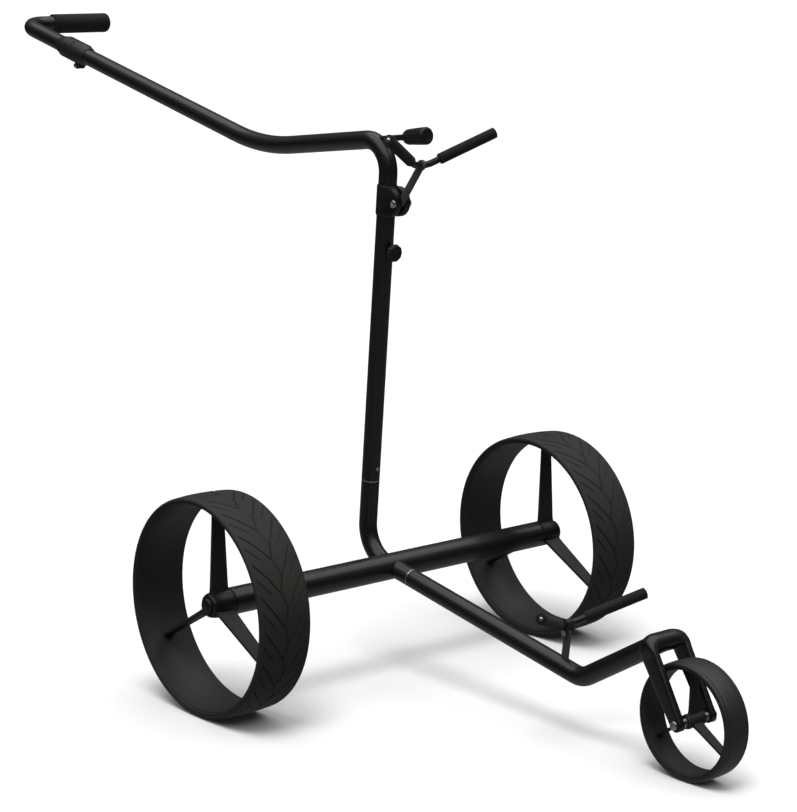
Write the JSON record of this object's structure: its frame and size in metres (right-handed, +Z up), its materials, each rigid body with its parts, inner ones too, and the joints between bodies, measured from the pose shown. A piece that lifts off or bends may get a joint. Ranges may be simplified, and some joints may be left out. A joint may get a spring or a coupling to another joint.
{
  "type": "golf push trolley",
  "caption": "Three-wheel push trolley for a golf bag: bent tube mast with side grip, V-shaped bag supports and quick-release wheels.",
  "frame": {"origin": "on the ground, under the middle of the whole trolley, in the plane of symmetry of its wheels", "axes": "+X to the trolley's right, +Y the way it rolls, towards the front wheel, +Z up"},
  "size_m": [0.655, 1.5652, 0.8644],
  "materials": {
    "carbon_weave": "satin clear coat over twill weave",
    "alloy": "turned",
    "steel": "bright",
    "black_plastic": "fine grain",
    "soft_rubber": "matt",
    "grey_strut": "dark anodised",
    "black_rod": "satin powder coat",
    "tyre_rubber": "matt",
    "rim_plastic": "matt moulded"
  },
  "bodies": {
    "chassis": {"axle_tube": "carbon_weave", "centre_bend": "carbon_weave", "axle_insert_right": "alloy", "axle_insert_left": "alloy", "mast_plug": "alloy", "mast_snap_clip": "steel"},
    "mast": {"mast_tube": "carbon_weave", "swivel_plug": "alloy", "collar_front": "black_plastic", "collar_screw": "steel", "bracket": "black_plastic", "bracket_bolt": "steel", "knob_stud": "alloy", "corner_stud": "steel"},
    "mast_knob": {"mast_knob": "black_plastic"},
    "corner_knob": {"corner_knob": "black_plastic"},
    "handle": {"handle_tube": "carbon_weave", "collar_rear": "black_plastic", "grip": "soft_rubber"},
    "front_frame": {"nose_tube": "carbon_weave", "nose_plug": "alloy", "nose_snap_clip": "steel", "fork_crown": "carbon_weave", "fork_leg_right": "carbon_weave", "fork_leg_left": "carbon_weave", "front_axle_bolt": "steel", "front_axle_nut": "steel", "hub_collars": "steel", "lower_strut": "grey_strut", "lower_hinge_pin": "steel"},
    "lower_support": {"lower_hinge_block": "black_plastic", "lower_rod": "black_rod", "lower_sleeves": "soft_rubber"},
    "upper_support": {"upper_strut": "grey_strut", "upper_rod": "black_rod", "upper_sleeves": "soft_rubber"},
    "front_wheel": {"front_tyre": "tyre_rubber", "front_rim": "rim_plastic", "front_bearings": "steel"},
    "axle_right": {"axle_pin_right": "steel"},
    "release_right": {"release_cap_right": "black_plastic"},
    "wheel_right": {"tyre_right": "tyre_rubber", "rim_right": "rim_plastic", "bearings_right": "steel", "bearing_spacer_right": "alloy"},
    "axle_left": {"axle_pin_left": "steel"},
    "release_left": {"release_cap_left": "black_plastic"},
    "wheel_left": {"tyre_left": "tyre_rubber", "rim_left": "rim_plastic", "bearings_left": "steel", "bearing_spacer_left": "alloy"}
  },
  "joints": [
    {"name": "mast_pull", "type": "slide", "parent": "chassis", "child": "mast", "axis": [0, 0.0889, 0.996], "range_m": [0, 0.034], "deforming": ["mast_snap_clip"]},
    {"name": "nose_pull", "type": "slide", "parent": "chassis", "child": "front_frame", "axis": [0, 0.9842, -0.1771], "range_m": [0, 0.034], "deforming": ["nose_snap_clip"]},
    {"name": "handle_turn", "type": "hinge", "parent": "mast", "child": "handle", "pos_m": [0, -0.61734, 0.81294], "axis": [0, 0.9724, -0.2334], "range_deg": [0, 180]},
    {"name": "upper_fold", "type": "hinge", "parent": "mast", "child": "upper_support", "pos_m": [0, 0.1675, 0.64214], "axis": [1, 0, 0], "range_deg": [-137, 0]},
    {"name": "lower_fold", "type": "hinge", "parent": "front_frame", "child": "lower_support", "pos_m": [0, 0.49407, 0.1311], "axis": [1, 0, 0], "range_deg": [-60, 75]},
    {"name": "mast_knob_turn", "type": "hinge", "parent": "mast", "child": "mast_knob", "pos_m": [0, 0.13257, 0.57698], "axis": [0, 0.996, -0.0889], "continuous": true},
    {"name": "corner_knob_turn", "type": "hinge", "parent": "mast", "child": "corner_knob", "pos_m": [0, 0.14592, 0.7265], "axis": [0, 0.9943, 0.1063], "continuous": true},
    {"name": "front_wheel_spin", "type": "hinge", "parent": "front_frame", "child": "front_wheel", "pos_m": [0, 0.70958, 0.073], "axis": [1, 0, 0], "continuous": true},
    {"name": "axle_right_pull", "type": "slide", "parent": "chassis", "child": "axle_right", "axis": [1, 0, 0], "range_m": [0, 0.055]},
    {"name": "release_right_press", "type": "slide", "parent": "axle_right", "child": "release_right", "axis": [-1, 0, 0], "range_m": [0, 0.003], "stiffness_N_per_m": 500, "springref_m": -0.002},
    {"name": "wheel_right_spin", "type": "hinge", "parent": "axle_right", "child": "wheel_right", "pos_m": [0, 0.14858, 0.145], "axis": [1, 0, 0], "continuous": true},
    {"name": "axle_left_pull", "type": "slide", "parent": "chassis", "child": "axle_left", "axis": [-1, 0, 0], "range_m": [0, 0.055]},
    {"name": "release_left_press", "type": "slide", "parent": "axle_left", "child": "release_left", "axis": [1, 0, 0], "range_m": [0, 0.003], "stiffness_N_per_m": 500, "springref_m": -0.002},
    {"name": "wheel_left_spin", "type": "hinge", "parent": "axle_left", "child": "wheel_left", "pos_m": [0, 0.14858, 0.145], "axis": [1, 0, 0], "continuous": true}
  ]
}
